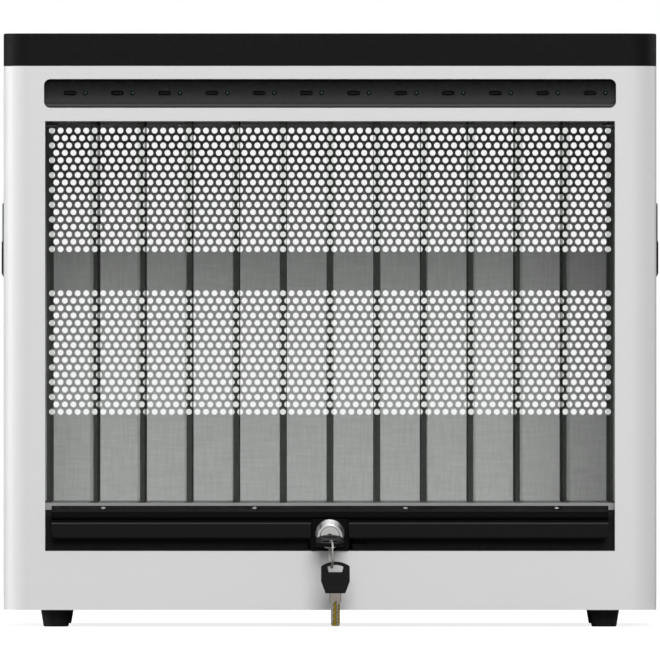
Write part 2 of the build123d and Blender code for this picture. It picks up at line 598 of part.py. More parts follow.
def make_rail_cover():
    """The pressed strip over the rail's head: a sloping top that rolls into a nose."""
    inner = COVER_NOSE_Y + COVER_T
    strip = prism_x([(DOOR_FRONT, COVER_TOP_Z), (COVER_NOSE_Y, COVER_NOSE_Z), (COVER_NOSE_Y, GROOVE_TOP),
                     (inner, GROOVE_TOP), (inner, COVER_NOSE_Z - COVER_T + 0.7),
                     (DOOR_FRONT, COVER_TOP_Z - COVER_T)], -RAIL_HALF_W, RAIL_HALF_W)
    for z, radius in ((COVER_NOSE_Z, 1.0), (GROOVE_TOP, 1.6)):
        nose_edge = strip.edges().filter_by(Axis.X).sort_by_distance((0, COVER_NOSE_Y, z))[0]
        strip = fillet(nose_edge, radius)
    return strip - [screw_place(x) * Cylinder(1.06, 12) for x in RAIL_SCREW_X]


def make_rail_screws():
    screw = pan_screw(1.8, 0.9, 1.0, 4.6)
    return group(screw_place(x) * screw for x in RAIL_SCREW_X)


# ---- lock --------------------------------------------------------------------------------------------
def lock_place(piece):
    """Moves a piece made about Z to the lock's axis, its +Z out of the face."""
    return LOCK.location * piece


def make_lock_housing():
    """The hooded block in the middle of the rail. Its face is square to the lock's tilted axis."""
    half = BOSS_HALF_W
    block = box_between(-half, half, FRONT - 12, DOOR_BACK, BOSS_BOTTOM, GROOVE_TOP - GAP)
    block -= lock_place(Pos(0, 0, 20) * Box(60, 60, 40))
    uprights = [e for e in block.edges() if abs(e.center().X) > half - 0.1 and e.length > 20
                and e.center().Y < FRONT and e.bounding_box().size.X < 0.1]
    block = chamfer(uprights, 1.8)
    bore = lock_place(Cylinder(BARREL_R + 0.05, 80))
    nut_room = lock_place(Pos(0, 0, NUT_SEAT - 20) * Cylinder(12.6, 40))
    return block - bore - nut_room


def make_lock_barrel():
    """The barrel and its bezel, whose plain side turns over in one round shoulder to the face."""
    bore = PLUG_R + RUNNING
    side_top, face_edge = (BEZEL_R, BEZEL_STRAIGHT), (BEZEL_FACE_R, LOCK_PROUD)
    profile = Polyline(face_edge, (bore + PLUG_BEVEL, LOCK_PROUD), (bore, LOCK_PROUD - PLUG_BEVEL),
                       (bore, BARREL_END), (BARREL_R, BARREL_END), (BARREL_R, 0), (BEZEL_R, 0), side_top)
    profile += TangentArc(side_top, face_edge, tangent=(0, 1))
    return lock_place(revolve(Plane.XZ * make_face(profile), axis=Axis.Z))


def make_lock_nut():
    ring = extrude(RegularPolygon(NUT_FLATS_R, 6, major_radius=False), NUT_T) - Cylinder(BARREL_R + 0.05, 20)
    return lock_place(Pos(0, 0, NUT_SEAT - NUT_T) * ring)


def make_lock_plug():
    """The turning core: an eased face with the keyway through it, and a square tail for the cam."""
    face = LOCK_PROUD - 0.1
    end = BARREL_END - 0.3
    slot_h = KEY_BLADE_T + 0.3
    body = turned([(0, face), (PLUG_R - PLUG_BEVEL, face), (PLUG_R, face - PLUG_BEVEL),
                   (PLUG_R, end), (0, end)])
    tail = Pos(0, 0, BARREL_END - TAIL_L) * extrude(Rectangle(7, 7), TAIL_L)
    keyway = Pos(0, 0, face - KEYWAY_DEPTH) * extrude(Rectangle(KEYWAY_W, slot_h), KEYWAY_DEPTH + 1)
    mouth = Pos(0, 0, face - KEY_MOUTH_DEPTH) * extrude(Rectangle(KEY_MOUTH_W, slot_h), KEY_MOUTH_DEPTH + 1)
    eye = Pos(0, 0, face) * Cylinder(KEY_EYE_R, 2 * KEY_EYE_DEPTH)
    pilot = Pos(0, 0, BARREL_END) * Cylinder(1.52, 12)
    return lock_place(body + tail - keyway - mouth - eye - pilot)


def make_lock_cam():
    """A flat cam, square on the plug's tail. At rest it lies across, clear of the sill."""
    hub, tip = 6.5, CAM_LENGTH - 2
    arm = closed_face([(-hub, -hub), (2, -hub), (tip, -5), (CAM_LENGTH, -3), (CAM_LENGTH, 3), (tip, 5),
                       (2, hub), (-hub, hub)])
    return lock_place(Pos(0, 0, CAM_SEAT - CAM_T) * extrude(arm - Rectangle(7.1, 7.1), CAM_T))


def make_cam_screw():
    return lock_place(Pos(0, 0, BARREL_END - TAIL_L) * Rot(180, 0, 0) * pan_screw(4.6, 2.4, 1.5, 6))


# ---- keys --------------------------------------------------------------------------------------------
def key_head():
    """The moulded bow. Y runs from the blade to the arched end; the window takes the ring."""
    foot, side = KEY_FOOT_W / 2, KEY_HEAD_W / 2
    arch = ThreePointArc((side, KEY_CHEEK_HIGH), (0, KEY_HEAD_L), (-side, KEY_CHEEK_HIGH))
    outline = make_face(Polyline((-side, KEY_CHEEK_HIGH), (-side, KEY_CHEEK_LOW), (-foot, 0), (foot, 0),
                                 (side, KEY_CHEEK_LOW), (side, KEY_CHEEK_HIGH)) + arch)
    low, high = 4.7, 5.6
    shoulder = KEY_WINDOW_HIGH - 1.3
    window = make_face(Polyline((-high, shoulder), (-low, KEY_WINDOW_LOW), (low, KEY_WINDOW_LOW),
                                (high, shoulder))
                       + ThreePointArc((high, shoulder), (0, KEY_WINDOW_HIGH), (-high, shoulder)))
    half = KEY_HEAD_T / 2
    head = Pos(0, 0, -half) * extrude(outline, KEY_HEAD_T)
    head = chamfer(head.edges().group_by(Axis.Z)[-1] + head.edges().group_by(Axis.Z)[0], 0.5)
    waists = [Pos(0, 5.4, z) * Box(11, 6, 0.5) for z in (-half, half)]
    return head - Pos(0, 0, -KEY_HEAD_T) * extrude(window, 2 * KEY_HEAD_T) - waists


def key_blade():
    """The neck and the dimple-cut blade, with a milled track down each broad side."""
    neck, half = KEY_NECK_W / 2, KEY_BLADE_W / 2
    shoulder = -KEY_NECK_L - 0.8
    corner, tip = 1.6 - KEY_BLADE_L, -KEY_BLADE_L
    flat = closed_face([(-neck, 0), (-neck, -KEY_NECK_L), (-half, shoulder), (-half, corner),
                        (-half + 1.3, tip), (half - 1.3, tip), (half, corner), (half, shoulder),
                        (neck, -KEY_NECK_L), (neck, 0)])
    top = KEY_BLADE_T / 2
    blade = Pos(0, 0, -top) * extrude(flat, KEY_BLADE_T)
    track = SlotOverall(KEY_BLADE_L - 5, 1.6, rotation=90)
    cut = RegularPolygon(0.75, 6)
    for side in (1, -1):
        blade -= Pos(0.8 * side, -KEY_BLADE_L / 2 - 2.4, side * top) * extrude(track, 0.5, both=True)
        blade -= [Pos(2.9 * side, -8.0 - KEY_CUT_PITCH * i, side * top) * extrude(cut, 0.4, both=True)
                  for i in range(KEY_CUTS)]
    return blade


# The key in the lock lies flat across the keyway, with its head out along the lock's axis. The ring hangs
# from the middle of that key's arched bar, and the spare key hangs from the ring's lowest wire.
INSERTED = LOCK.location * Pos(0, 0, LOCK_PROUD + KEY_SHOWING) * Rot(90, 0, 0)
BAR_S = LOCK_PROUD + KEY_SHOWING + (KEY_HEAD_L + KEY_WINDOW_HIGH) / 2
BAR_Y = LOCK_Y - BAR_S * cos(radians(LOCK_TILT))
BAR_Z = LOCK_Z - BAR_S * sin(radians(LOCK_TILT))
RING_X = 0.9
RING_Y = BAR_Y - 1.6
RING_Z = BAR_Z + 2.1 + RING_WIRE - RING_R
SPARE_X = 3.8
SPARE_WIRE_Z = RING_Z - RING_R + RING_WIRE / 2
SPARE_BASE_Z = SPARE_WIRE_Z + 1.7 - KEY_WINDOW_HIGH
SPARE = Pos(SPARE_X, RING_Y, SPARE_BASE_Z) * Rot(90, 0, 0)


def make_key_ring():
    """A flat-wire split ring round both keys' arched bars. A groove parts its two turns, inside and out."""
    r, half, groove = RING_WIRE / 2, RING_WIDTH / 2, RING_GROOVE
    soft = 0.3
    quarter = [(r - soft, half), (r, half - soft), (r, groove), (r - groove, 0)]
    right = quarter + [(a, -b) for a, b in quarter[-2::-1]]
    wire = closed_face(right + [(-a, -b) for a, b in right])
    ring = revolve(Plane.XZ * Pos(RING_R - r, 0) * wire, axis=Axis.Z)
    return Pos(RING_X, RING_Y, RING_Z) * Rot(0, 0, RING_YAW) * Rot(0, 90, 0) * ring


# ---- assembly ----------------------------------------------------------------------------------------
def make_all():
    parts = {
        "cabinet_shell": make_cabinet_shell(), "base_pan": make_base_pan(), "top_cap": make_top_cap(),
        "cap_screws": make_cap_screws(), "rear_panel": make_rear_panel(), "rear_screws": make_rear_screws(),
        "foot_screws": make_foot_screws(), "bay_floor": make_bay_floor(), "bay_ceiling": make_bay_ceiling(),
        "port_fascia": make_port_fascia(), "usb_sockets": make_usb_sockets(),
        "status_leds": make_status_leds(), "hub_board": make_hub_board(),
        "hub_components": make_hub_components(),
        "board_standoffs": make_board_standoffs(), "power_supply": make_power_supply(),
        "psu_screws": make_psu_screws(), "power_inlet": make_power_inlet(),
        "switch_housing": make_switch_housing(), "switch_rocker": make_switch_rocker(),
        "door_sill": make_door_sill(), "door_bumpers": make_door_bumpers(), "hinge_pins": make_hinge_pins(),
        "door_pane": make_door_pane(), "door_rail": make_door_rail(), "rail_cover": make_rail_cover(),
        "rail_screws": make_rail_screws(), "lock_housing": make_lock_housing(),
        "lock_barrel": make_lock_barrel(), "lock_nut": make_lock_nut(), "lock_plug": make_lock_plug(),
        "lock_cam": make_lock_cam(), "cam_screw": make_cam_screw(), "key_ring": make_key_ring(),
        "key_head": INSERTED * key_head(), "key_blade": INSERTED * key_blade(),
        "spare_key_head": SPARE * key_head(), "spare_key_blade": SPARE * key_blade(),
    }
    for end, y in (("front", -FOOT_Y), ("rear", FOOT_Y)):
        for side, x in (("left", -FOOT_X), ("right", FOOT_X)):
            parts[f"foot_{end}_{side}"] = make_foot(x, y)
    for side, sign in (("left", -1), ("right", 1)):
        parts[f"side_handle_{side}"] = make_side_handle(sign)
        parts[f"hinge_block_{side}"] = make_hinge_block(sign)
    parts["end_divider_left"] = make_divider(DIVIDER_X[0])
    parts["end_divider_right"] = make_divider(DIVIDER_X[-1])
    for i, x in enumerate(DIVIDER_X[1:-1], start=1):
        parts[f"divider_{i:02d}"] = make_divider(x)
    return parts


PARTS = make_all()
LOW_Y = min(piece.bounding_box().min.Y for piece in PARTS.values())
HIGH_Y = max(piece.bounding_box().max.Y for piece in PARTS.values())
SHIFT_Y = -(LOW_Y + HIGH_Y) / 2

if __name__ == "__main__":
    os.makedirs("parts", exist_ok=True)
    for name, piece in PARTS.items():
        export_step(Pos(0, SHIFT_Y, 0) * piece, f"parts/{name}.step")
    print(len(PARTS), "nodes; moved along Y by", round(SHIFT_Y, 3))
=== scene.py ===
import json
from math import cos, pi, radians, sin

import bpy
import numpy as np
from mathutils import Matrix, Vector


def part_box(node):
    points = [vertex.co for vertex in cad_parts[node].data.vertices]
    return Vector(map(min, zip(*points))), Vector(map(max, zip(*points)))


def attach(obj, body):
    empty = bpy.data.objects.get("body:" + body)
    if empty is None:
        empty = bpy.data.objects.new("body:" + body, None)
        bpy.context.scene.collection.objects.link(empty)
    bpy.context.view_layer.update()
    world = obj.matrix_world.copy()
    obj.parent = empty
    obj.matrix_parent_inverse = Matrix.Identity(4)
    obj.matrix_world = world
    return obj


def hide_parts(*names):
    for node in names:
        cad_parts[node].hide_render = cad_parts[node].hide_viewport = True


# Looks for a locking charging cabinet with twelve clear-divided bays. Everything is in metres, in the frame
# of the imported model. Sizes in millimetres are written as n * MM.

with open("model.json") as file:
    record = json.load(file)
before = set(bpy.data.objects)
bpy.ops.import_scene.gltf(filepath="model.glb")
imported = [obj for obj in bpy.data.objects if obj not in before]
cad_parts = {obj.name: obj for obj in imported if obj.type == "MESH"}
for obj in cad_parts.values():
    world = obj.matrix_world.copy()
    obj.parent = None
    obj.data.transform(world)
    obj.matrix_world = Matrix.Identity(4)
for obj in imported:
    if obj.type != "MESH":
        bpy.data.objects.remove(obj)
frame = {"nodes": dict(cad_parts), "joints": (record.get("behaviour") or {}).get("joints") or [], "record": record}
NODES = frame["nodes"]
JOINTS = {joint["name"]: joint for joint in frame["joints"]}
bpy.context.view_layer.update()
MM = 0.001


# ---- places read from the frame, and the camera's --------------------------------------------------------
LOCK_AT = Vector(JOINTS["lock_turn"]["pos_m"])
LOCK_OUT = Vector(JOINTS["key_slide"]["axis"])
LOCK_ACROSS = Vector((1, 0, 0))
LOCK_UP = LOCK_OUT.cross(LOCK_ACROSS)
LOCK_PROUD = 9.5 * MM           # lock face to housing
KEY_SHOWING = 2.2 * MM          # key head to lock face
CASING_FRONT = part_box("cabinet_shell")[0].y
FRAME_WIDTH = 464.7 * MM        # what the camera takes in at the casing's front
FRAME_MIDDLE_Z = 209.1 * MM
LENS = 1600.0                   # a very long lens, so that the bays are seen almost without perspective
SENSOR = 36.0
CAMERA_AWAY = FRAME_WIDTH * LENS / SENSOR


# ---- node helpers ----------------------------------------------------------------------------------------
def neutral(level):
    """A colour with no hue."""
    return (level, level, level)


class Finish:
    """A procedural material. Patterns read Object coordinates, so they stay with the piece."""

    def __init__(self, name, colour, roughness, metallic=0.0, specular=0.5, ior=1.5):
        self.material = bpy.data.materials.new(name)
        self.material.use_nodes = True
        self.tree = self.material.node_tree
        self.surface = self.tree.nodes["Principled BSDF"]
        self.output = self.tree.nodes["Material Output"]
        self.feed(self.surface, Base_Color=(*colour, 1.0), Roughness=roughness, Metallic=metallic,
                  Specular_IOR_Level=specular, IOR=ior)
        self.where = self.node("ShaderNodeTexCoord")

    def node(self, kind, **settings):
        made = self.tree.nodes.new(kind)
        for key, value in settings.items():
            setattr(made, key, value)
        return made

    def put(self, socket, value):
        """Links an input to another node's socket, or sets it to a plain value."""
        if isinstance(value, bpy.types.NodeSocket):
            self.tree.links.new(value, socket)
        else:
            socket.default_value = value

    def feed(self, node, **inputs):
        """Puts a value or a link into each of a node's inputs, by name."""
        for key, value in inputs.items():
            self.put(node.inputs[key.replace("_", " ")], value)
        return node

    def coords(self, stretch=(1, 1, 1)):
        """Object coordinates, scaled along each axis."""
        mapping = self.node("ShaderNodeMapping")
        self.feed(mapping, Vector=self.where.outputs["Object"], Scale=stretch)
        return mapping.outputs["Vector"]

    def noise(self, scale, detail=3.0, stretch=(1, 1, 1)):
        made = self.feed(self.node("ShaderNodeTexNoise"), Vector=self.coords(stretch), Scale=scale,
                         Detail=detail)
        return made.outputs["Fac"]

    def grains(self, scale):
        """Rounded cells: how far a place is from the nearest of many scattered points."""
        made = self.feed(self.node("ShaderNodeTexVoronoi"), Vector=self.coords(), Scale=scale)
        return made.outputs["Distance"]

    def attribute(self, name, output="Fac"):
        return self.node("ShaderNodeAttribute", attribute_name=name).outputs[output]

    def axes(self, vector):
        """The X, Y and Z of a vector, by name."""
        parts = self.node("ShaderNodeSeparateXYZ")
        self.tree.links.new(vector, parts.inputs[0])
        return parts.outputs

    def between(self, value, low, high, start=0.3, end=0.7):
        """Maps a pattern's start and end to two numbers."""
        made = self.feed(self.node("ShaderNodeMapRange"), Value=value, From_Min=start, From_Max=end,
                         To_Min=low, To_Max=high)
        return made.outputs["Result"]

    def blend(self, share, first, second):
        """A colour between two colours, or between two sockets."""
        made = self.node("ShaderNodeMix", data_type="RGBA")
        self.put(made.inputs["Factor"], share)
        for socket, value in ((made.inputs[6], first), (made.inputs[7], second)):
            self.put(socket, value if isinstance(value, bpy.types.NodeSocket) else (*value, 1.0))
        return made.outputs[2]

    def maths(self, operation, first, second=0.0):
        made = self.node("ShaderNodeMath", operation=operation)
        self.put(made.inputs[0], first)
        self.put(made.inputs[1], second)
        return made.outputs[0]

    def vectors(self, operation, first, second=(0, 0, 0)):
        """A sum on vectors. Its outputs are Vector and, where the answer is a number, Value."""
        made = self.node("ShaderNodeVectorMath", operation=operation)
        self.put(made.inputs[0], first)
        self.put(made.inputs[1], second)
        return made.outputs

    def mixed(self, share, first, second):
        """A shader between two shaders."""
        made = self.node("ShaderNodeMixShader")
        self.put(made.inputs["Fac"], share)
        self.put(made.inputs[1], first)
        self.put(made.inputs[2], second)
        return made.outputs[0]

    def upper_edge(self):
        """1 on chamfers that face up and forward, else 0. The finishes paint highlights there."""
        normal = self.axes(self.where.outputs["Normal"])
        forward = self.maths("MULTIPLY", normal["Y"], -1.0)
        return self.maths("MULTIPLY", self.between(normal["Z"], 0.0, 1.0, 0.45, 0.55),
                          self.between(forward, 0.0, 1.0, 0.45, 0.55))

    def colour(self, socket):
        self.put(self.surface.inputs["Base Color"], socket)

    def roughness(self, socket):
        self.put(self.surface.inputs["Roughness"], socket)

    def relief(self, height, depth, strength=1.0):
        """Bump from a pattern of heights, depth metres tall."""
        made = self.feed(self.node("ShaderNodeBump"), Strength=strength, Distance=depth, Height=height)
        self.put(self.surface.inputs["Normal"], made.outputs["Normal"])


# ---- finishes --------------------------------------------------------------------------------------------
def powder_coat(name, grey, roughness=0.46):
    """Baked powder: a faint orange peel, with a slow drift in shade and gloss."""
    f = Finish(name, neutral(grey), roughness, specular=0.35)
    f.colour(f.blend(f.noise(7.0, 2.0), neutral(grey * 0.985), neutral(grey * 1.01)))
    f.roughness(f.between(f.noise(240.0, 2.0), roughness - 0.04, roughness + 0.05))
    f.relief(f.noise(1100.0, 2.0), 0.02 * MM, 0.5)
    return f.material


def moulded_black(name, grey, roughness=0.55, specular=0.2, grain=2400.0):
    """Injection-moulded black with an eroded-tool grain."""
    f = Finish(name, neutral(grey), roughness, specular=specular)
    f.colour(f.blend(f.noise(30.0, 3.0), neutral(grey * 0.9), neutral(grey * 1.12)))
    f.roughness(f.between(f.noise(400.0, 3.0), roughness - 0.06, roughness + 0.08))
    f.relief(f.grains(grain), 0.03 * MM, 0.35)
    return f.material


def rail_black(name, grey, roughness, specular):
    """Drawn aluminium, anodised black: long fine die lines along X, and a pale painted highlight on upward edges.
    """
    f = Finish(name, neutral(grey), roughness, specular=specular)
    lines = f.noise(900.0, 2.0, stretch=(0.006, 1, 1))
    body = f.blend(lines, neutral(grey * 0.85), neutral(grey * 1.15))
    # Painted highlight: edges that face up and forward are painted far paler than the black.
    painted_edge_highlight = neutral(grey * 9.0)
    f.colour(f.blend(f.upper_edge(), body, painted_edge_highlight))
    f.roughness(f.between(lines, roughness - 0.04, roughness + 0.06))
    f.relief(lines, 0.006 * MM, 0.4)
    return f.material


def port_black(name):
    """Satin black moulding, painted darker towards the top as shade, with a painted highlight on upward chamfers.
    """
    f = Finish(name, neutral(0.01), 0.42, specular=0.08)
    low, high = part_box("usb_sockets")
    # From lit at the bottom to painted shade at the top.
    lit_z, shaded_z = low.z - 3 * MM, high.z + 7 * MM
    # Two tones of one black for painted shade and painted light, and a painted highlight colour.
    shaded_black, lit_black, ledge_highlight = neutral(0.002), neutral(0.036), neutral(0.12)
    share = f.between(f.axes(f.coords())["Z"], 1.0, 0.0, lit_z, shaded_z)
    grain = f.between(f.noise(500.0, 3.0), 0.9, 1.1)
    # Painted shade: darker towards the top, with a faint random grain.
    shade_ramp = f.blend(f.maths("MULTIPLY", f.maths("POWER", share, 2.4), grain), shaded_black, lit_black)
    # Painted highlight on the chamfers that face up and forward.
    f.colour(f.blend(f.upper_edge(), shade_ramp, ledge_highlight))
    f.roughness(f.between(f.noise(400.0, 3.0), 0.36, 0.5))
    f.relief(f.grains(2400.0), 0.02 * MM, 0.3)
    return f.material


def plated_steel(name, tint, roughness=0.3):
    """Bright plate with a cloudy gloss and short random scratches."""
    f = Finish(name, tint, roughness, metallic=1.0)
    cloud = f.noise(180.0, 4.0)
    f.colour(f.blend(cloud, tuple(0.9 * c for c in tint), tuple(min(1.0, 1.06 * c) for c in tint)))
    f.roughness(f.between(cloud, roughness - 0.07, roughness + 0.1))
    f.relief(f.noise(1500.0, 2.0, stretch=(1, 0.12, 0.3)), 0.008 * MM, 0.5)
    return f.material


def turned_chrome(name):
    """Chrome over a turned surface. The lathe's fine grooves run round the lock, so that light spreads along
    its profile, whose direction the piece holds as an attribute. Another marks its satin front ring."""
    f = Finish(name, neutral(0.85), 0.34, metallic=1.0)
    bright, satin = 1.0, 0.3
    f.put(f.surface.inputs["Metallic"], f.between(f.attribute("satin"), bright, satin, 0.0, 1.0))
    f.surface.inputs["Anisotropic"].default_value = 0.85
    world = f.node("ShaderNodeVectorTransform", vector_type="VECTOR", convert_from="OBJECT",
                   convert_to="WORLD")
    f.put(world.inputs[0], f.attribute("profile_direction", "Vector"))
    f.put(f.surface.inputs["Tangent"], world.outputs[0])
    f.roughness(f.between(f.noise(220.0, 2.0), 0.32, 0.37))
    return f.material


def satin_nickel(name):
    """The lock's face: nickel brushed to an even satin, dull at its bevelled rim. Below the face the keyway
    shows brass, painted dark olive: brass hue, with painted shade for the recess."""
    f = Finish(name, (0.74, 0.74, 0.73), 0.46, metallic=0.35)
    here = f.where.outputs["Object"]
    face = LOCK_AT.dot(LOCK_OUT) + LOCK_PROUD
    height = f.vectors("DOT_PRODUCT", here, LOCK_OUT)["Value"]
    below = f.between(height, 1.0, 0.0, face - 0.9 * MM, face - 0.5 * MM)
    from_lock = f.vectors("SUBTRACT", here, LOCK_AT)["Vector"]
    sideways = f.vectors("CROSS_PRODUCT", from_lock, LOCK_OUT)["Vector"]
    radius = f.vectors("LENGTH", sideways)["Value"]
    rim = f.between(radius, 0.0, 1.0, 6.6 * MM, 6.75 * MM)
    satin = f.blend(f.noise(500.0, 3.0), (0.71, 0.71, 0.7), (0.77, 0.77, 0.76))
    # Brass in hue, painted dark as shade in the recessed keyway.
    shaded_keyway_brass = (0.06, 0.06, 0.042)
    f.colour(f.blend(below, f.blend(rim, satin, neutral(0.3)), shaded_keyway_brass))
    f.roughness(f.between(f.noise(700.0, 3.0), 0.42, 0.52))
    return f.material


def rubber(name):
    """Matt black rubber with a powdery bloom."""
    f = Finish(name, neutral(0.012), 0.75, specular=0.25)
    f.colour(f.blend(f.noise(120.0, 4.0), neutral(0.009), neutral(0.018)))
    f.roughness(f.between(f.noise(300.0, 3.0), 0.66, 0.85))
    f.relief(f.grains(1800.0), 0.04 * MM, 0.4)
    return f.material


ACRYLIC_IOR = 1.49


def clear_sheet(name, broad_axis, face_tint, edge_tint, edge_body, edge_share, edge_pass, skim_share=0.7):
    """Polished clear sheet, thin enough not to bend what is seen through it. Its broad faces gloss a little
    at low angles, and where sight only skims them their reflection is painted dark, as shade. Its sawn
    edges are greener, part frosted, and pass less lamp light."""
    f = Finish(name, face_tint, 0.08, ior=ACRYLIC_IOR)
    squareness = f.maths("ABSOLUTE", f.axes(f.where.outputs["Normal"])[broad_axis])
    edge = f.maths("LESS_THAN", squareness, 0.5)
    clear = f.feed(f.node("ShaderNodeBsdfTransparent"), Color=f.blend(edge, face_tint, edge_tint))

    # Fresnel is 1 where a ray inside the sheet can't leave it. Such places stay clear.
    fresnel = f.feed(f.node("ShaderNodeFresnel"), IOR=ACRYLIC_IOR).outputs[0]
    outside = f.maths("LESS_THAN", fresnel, 0.998)
    skimming = f.maths("MULTIPLY", f.between(fresnel, 0.0, 1.0, 0.55, 0.85), outside)
    # Where sight skims a face, its reflection is painted near black: painted shade in place of the bay it would
    # mirror.
    mirrored, dark = (1, 1, 1), (0.031, 0.033, 0.031)
    gloss = f.feed(f.node("ShaderNodeBsdfGlossy"), Color=f.blend(skimming, mirrored, dark), Roughness=0.05)
    rounded_cap, flat_cap = 0.005, 0.16
    cap = f.between(f.maths("GREATER_THAN", squareness, 0.999), rounded_cap, flat_cap, 0.0, 1.0)
    sheen = f.maths("MAXIMUM", f.maths("MINIMUM", fresnel, cap), f.maths("MULTIPLY", skimming, skim_share))
    faces = f.mixed(sheen, clear.outputs["BSDF"], gloss.outputs["BSDF"])

    frost = f.blend(f.noise(900.0, 3.0, stretch=(1, 1, 0.1)), tuple(0.85 * c for c in edge_body),
                    tuple(1.15 * c for c in edge_body))
    sawn = f.feed(f.node("ShaderNodeBsdfDiffuse"), Color=frost)
    seen = f.mixed(f.maths("MULTIPLY", edge, edge_share), faces, sawn.outputs["BSDF"])
    shade = f.feed(f.node("ShaderNodeBsdfTransparent"),
                   Color=f.blend(edge, (0.97, 0.975, 0.97), neutral(edge_pass)))
    path = f.node("ShaderNodeLightPath")
    whole = f.mixed(path.outputs["Is Shadow Ray"], seen, shade.outputs["BSDF"])
    f.put(f.output.inputs["Surface"], whole)
    return f.material


def vent_sheet(name, grey):
    """Satin grey paint over rolled sheet: a fine slanting weave of rolling and polishing marks."""
    f = Finish(name, neutral(grey), 0.5, specular=0.3)
    rolled = f.noise(700.0, 3.0, stretch=(0.08, 1, 1))
    across = f.noise(620.0, 2.0, stretch=(1, 1, 0.09))
    weave = f.maths("MULTIPLY", rolled, across)
    f.colour(f.blend(f.between(weave, 0.0, 1.0, 0.12, 0.42), neutral(grey * 0.9), neutral(grey * 1.08)))
    f.roughness(f.between(rolled, 0.42, 0.58))
    f.relief(weave, 0.02 * MM, 0.4)
    return f.material


def solder_mask(name):
    """Green board lacquer with copper runs showing as a paler, raised maze."""
    f = Finish(name, (0.012, 0.1, 0.035), 0.28)
    maze = f.feed(f.node("ShaderNodeTexBrick", offset=0.37, squash=0.6), Vector=f.coords(), Scale=160.0,
                  Mortar_Size=0.06, Brick_Width=0.9, Row_Height=0.22)
    f.colour(f.blend(maze.outputs["Fac"], (0.012, 0.09, 0.032), (0.03, 0.17, 0.06)))
    f.relief(maze.outputs["Fac"], 0.035 * MM, 0.6)
    return f.material


def smoked_lens(name):
    """Smoked satin lens, faintly green, unlit."""
    f = Finish(name, (0.01, 0.03, 0.015), 0.3, specular=0.25)
    f.colour(f.blend(f.noise(900.0, 2.0), (0.004, 0.012, 0.006), (0.01, 0.034, 0.016)))
    return f.material


def key_metal(name):
    """Nickel plate on a key blank. Where the cutter went through, the piece's milled attribute shows
    brass."""
    f = Finish(name, (0.2, 0.18, 0.16), 0.4, metallic=0.6, specular=0.25)
    plate = f.blend(f.noise(500.0, 4.0), (0.17, 0.153, 0.134), (0.21, 0.19, 0.166))
    brass = f.blend(f.noise(1400.0, 3.0), (0.115, 0.085, 0.0), (0.185, 0.142, 0.003))
    f.colour(f.blend(f.attribute("milled"), plate, brass))
    f.roughness(f.between(f.noise(900.0, 3.0), 0.34, 0.46))
    f.relief(f.noise(2600.0, 2.0, stretch=(0.1, 1, 1)), 0.006 * MM, 0.5)
    return f.material


# Face tint, edge tint, edge body, and how much of an edge is frosted and how much lamp light it passes.
DIVIDER_LOOK = ((0.953, 0.962, 0.953), (0.952, 0.966, 0.95), (0.02, 0.024, 0.02), 0.05, 0.04)
PANE_LOOK = ((0.98, 0.983, 0.981), (0.8, 0.87, 0.81), (0.05, 0.056, 0.05), 0.12, 0.8)
FINISHES = {name: make(name, *values) for name, make, *values in (
    ("casing_paint", powder_coat, 0.7),
    ("shelf_steel", powder_coat, 0.37, 0.42),
    ("psu_steel", plated_steel, (0.55, 0.56, 0.57), 0.38),
    ("black_moulding", moulded_black, 0.0055, 0.6, 0.07),
    # The sill's black is a paler copy of the moulding's: painted light, to lift the shade behind the finger gap.
    ("sill_black", moulded_black, 0.01, 0.55, 0.08),
    ("fascia_black", port_black),
    ("component_black", moulded_black, 0.02, 0.45),
    ("key_plastic", moulded_black, 0.0035, 0.42, 0.09, 3200.0),
    ("switch_black", moulded_black, 0.012, 0.22, 0.5, 4000.0),
    ("rail_black", rail_black, 0.0045, 0.38, 0.06),
    ("cover_black", rail_black, 0.0035, 0.55, 0.03),
    ("vent_steel", vent_sheet, 0.72),
    ("zinc_screw", plated_steel, (0.62, 0.61, 0.58), 0.3),
    ("black_screw", plated_steel, (0.3, 0.3, 0.3), 0.34),
    # The socket shells are steel but wear near-black moulding: painted shade for the dark mouths of the ports.
    ("socket_steel", moulded_black, 0.004, 0.5, 0.12),
    ("cam_steel", plated_steel, (0.55, 0.54, 0.5), 0.36),
    ("ring_steel", plated_steel, (0.36, 0.35, 0.33), 0.5),
    ("lock_chrome", turned_chrome),
    ("lock_brass", satin_nickel),
    ("foot_rubber", rubber),
    ("led_lens", smoked_lens),
    ("board_lacquer", solder_mask),
    ("key_nickel", key_metal),
    ("divider_acrylic", clear_sheet, "X", *DIVIDER_LOOK),
    ("end_acrylic", clear_sheet, "X", *DIVIDER_LOOK, 0.3),
    ("pane_acrylic", clear_sheet, "Y", *PANE_LOOK),
)}
# The hinge pins wear a black finish in place of their zinc: painted shade that hides their highlight
# # through the clear pane. The end dividers get less of the painted dark where sight skims them.
OTHER_FINISHES = {"hinge_pins": "component_black", "end_divider_left": "end_acrylic",
                  "end_divider_right": "end_acrylic"}


def dress_nodes():
    """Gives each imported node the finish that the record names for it, or another that suits its place."""
    for part in frame["record"]["subparts"]:
        piece = NODES[part["node"]]
        finish = OTHER_FINISHES.get(part["node"], part["material_slot"])
        piece.data.materials.clear()
        piece.data.materials.append(FINISHES[finish])


# ---- surfaces --------------------------------------------------------------------------------------------
def make_piece(name, points, faces, finish, smooth=True):
    """A mesh piece at the origin, with its place in its points."""
    mesh = bpy.data.meshes.new(name)
    mesh.from_pydata(np.asarray(points, float).reshape(-1, 3).tolist(), [], faces)
    mesh.materials.append(FINISHES[finish])
    mesh.polygons.foreach_set("use_smooth", np.full(len(mesh.polygons), smooth))
    mesh.update()
    piece = bpy.data.objects.new(name, mesh)
    bpy.context.scene.collection.objects.link(piece)
    return piece


